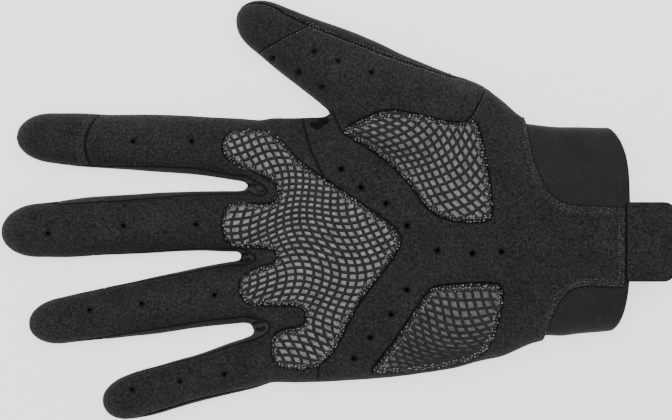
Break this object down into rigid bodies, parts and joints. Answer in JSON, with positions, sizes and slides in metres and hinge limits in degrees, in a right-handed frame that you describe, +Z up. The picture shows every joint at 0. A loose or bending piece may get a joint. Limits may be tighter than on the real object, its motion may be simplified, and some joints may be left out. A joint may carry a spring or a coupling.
{
  "type": "cycling glove",
  "caption": "Full-finger cycling glove for the right hand, lying palm up, with padded and perforated suede palm, stretch back, slip-on cuff and pull tab; the hand goes in at the wrist.",
  "frame": {"origin": "middle of the glove's bounding box in plan, on the surface that its back lies on", "axes": "+Z up out of the palm, -X towards the fingertips, +X towards the wrist opening, +Y towards the thumb's side"},
  "size_m": [0.2348, 0.147, 0.0291],
  "materials": {
    "suede": "matt synthetic suede with fine light fibres",
    "touch_suede": "smoother matt suede with fine light fibres",
    "knit": "matt stretch knit",
    "pad_mesh": "grey padding under an open dark net",
    "neoprene": "smooth stretch jersey over thin neoprene"
  },
  "bodies": {
    "root": {"knuckle_pad": "pad_mesh", "thenar_pad": "pad_mesh", "hypothenar_pad": "pad_mesh", "finger_panel": "suede", "palm_center_panel": "suede", "thumb_panel": "suede", "index_touch_tip": "touch_suede", "thumb_touch_tip": "touch_suede", "fourchette_index_middle": "knit", "fourchette_middle_ring": "knit", "fourchette_ring_little": "knit", "back_panel": "knit", "thumb_back_panel": "knit", "cuff": "neoprene", "pull_tab": "suede"}
  },
  "joints": []
}
